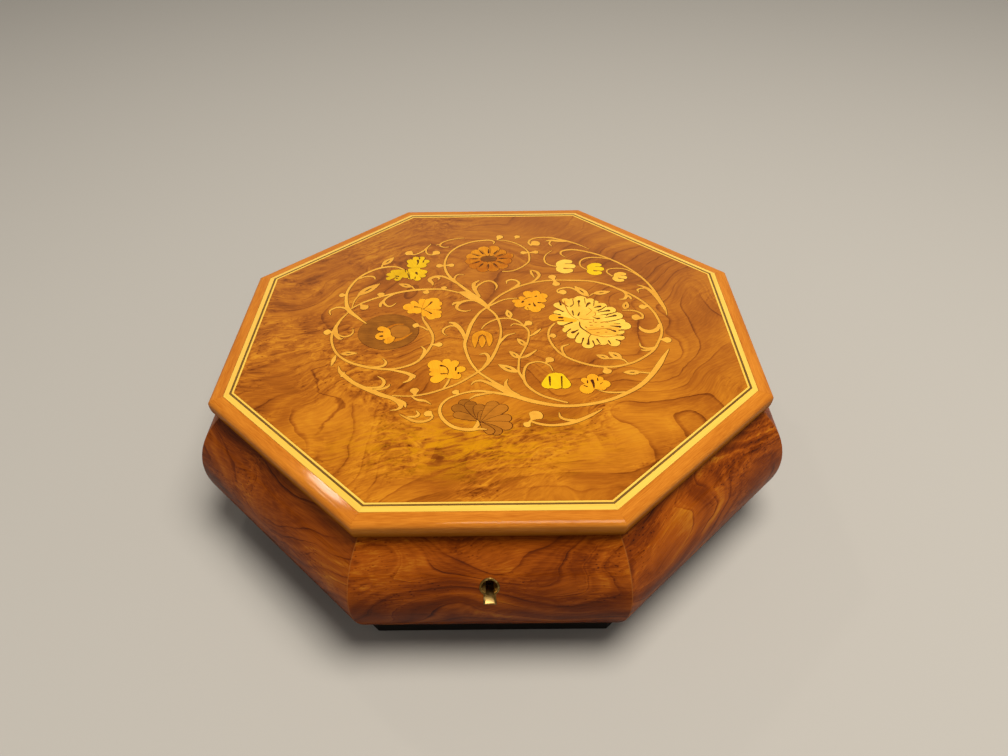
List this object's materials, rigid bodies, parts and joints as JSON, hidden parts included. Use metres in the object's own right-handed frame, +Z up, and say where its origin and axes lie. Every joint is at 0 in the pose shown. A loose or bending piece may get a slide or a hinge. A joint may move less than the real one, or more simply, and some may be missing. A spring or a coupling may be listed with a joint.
{
  "type": "music box",
  "caption": "Low octagonal wooden music box with bulging veneered walls, an inlaid flat lid with a rounded edge moulding and a brass-lined keyhole; hollow and empty.",
  "frame": {"origin": "middle of the flat underside, on the surface that the box stands on", "axes": "+Z up out of the lid, -Y out of the front wall with the keyhole, +X to the right seen from the front"},
  "size_m": [0.3114, 0.3116, 0.088],
  "materials": {
    "base_board": "black stained, matt",
    "lid_board": "plain, satin",
    "burl_veneer": "burl veneer under high-gloss lacquer",
    "lid_veneer": "figured veneer under high-gloss lacquer",
    "moulding": "mahogany under high-gloss lacquer",
    "light_banding": "maple under high-gloss lacquer",
    "dark_line": "dark stained line under high-gloss lacquer",
    "inlay_maple": "maple marquetry under high-gloss lacquer",
    "inlay_yellow": "dyed yellow marquetry under high-gloss lacquer",
    "inlay_cream": "pale holly marquetry under high-gloss lacquer",
    "inlay_orange": "orange marquetry under high-gloss lacquer",
    "inlay_walnut": "walnut marquetry under high-gloss lacquer",
    "brass": "aged, satin"
  },
  "bodies": {
    "root": {"base_board": "base_board", "lid_board": "lid_board", "lid_veneer": "lid_veneer", "keyhole_liner": "brass", "lock_case": "brass", "wall_front": "burl_veneer", "wall_front_right": "burl_veneer", "wall_right": "burl_veneer", "wall_back_right": "burl_veneer", "wall_back": "burl_veneer", "wall_back_left": "burl_veneer", "wall_left": "burl_veneer", "wall_front_left": "burl_veneer", "lid_moulding_front": "moulding", "lid_moulding_front_right": "moulding", "lid_moulding_right": "moulding", "lid_moulding_back_right": "moulding", "lid_moulding_back": "moulding", "lid_moulding_back_left": "moulding", "lid_moulding_left": "moulding", "lid_moulding_front_left": "moulding", "lid_wide_band_front": "light_banding", "lid_wide_band_front_right": "light_banding", "lid_wide_band_right": "light_banding", "lid_wide_band_back_right": "light_banding", "lid_wide_band_back": "light_banding", "lid_wide_band_back_left": "light_banding", "lid_wide_band_left": "light_banding", "lid_wide_band_front_left": "light_banding", "lid_dark_line_front": "dark_line", "lid_dark_line_front_right": "dark_line", "lid_dark_line_right": "dark_line", "lid_dark_line_back_right": "dark_line", "lid_dark_line_back": "dark_line", "lid_dark_line_back_left": "dark_line", "lid_dark_line_left": "dark_line", "lid_dark_line_front_left": "dark_line", "lid_light_line_front": "light_banding", "lid_light_line_front_right": "light_banding", "lid_light_line_right": "light_banding", "lid_light_line_back_right": "light_banding", "lid_light_line_back": "light_banding", "lid_light_line_back_left": "light_banding", "lid_light_line_left": "light_banding", "lid_light_line_front_left": "light_banding"}
  },
  "joints": []
}
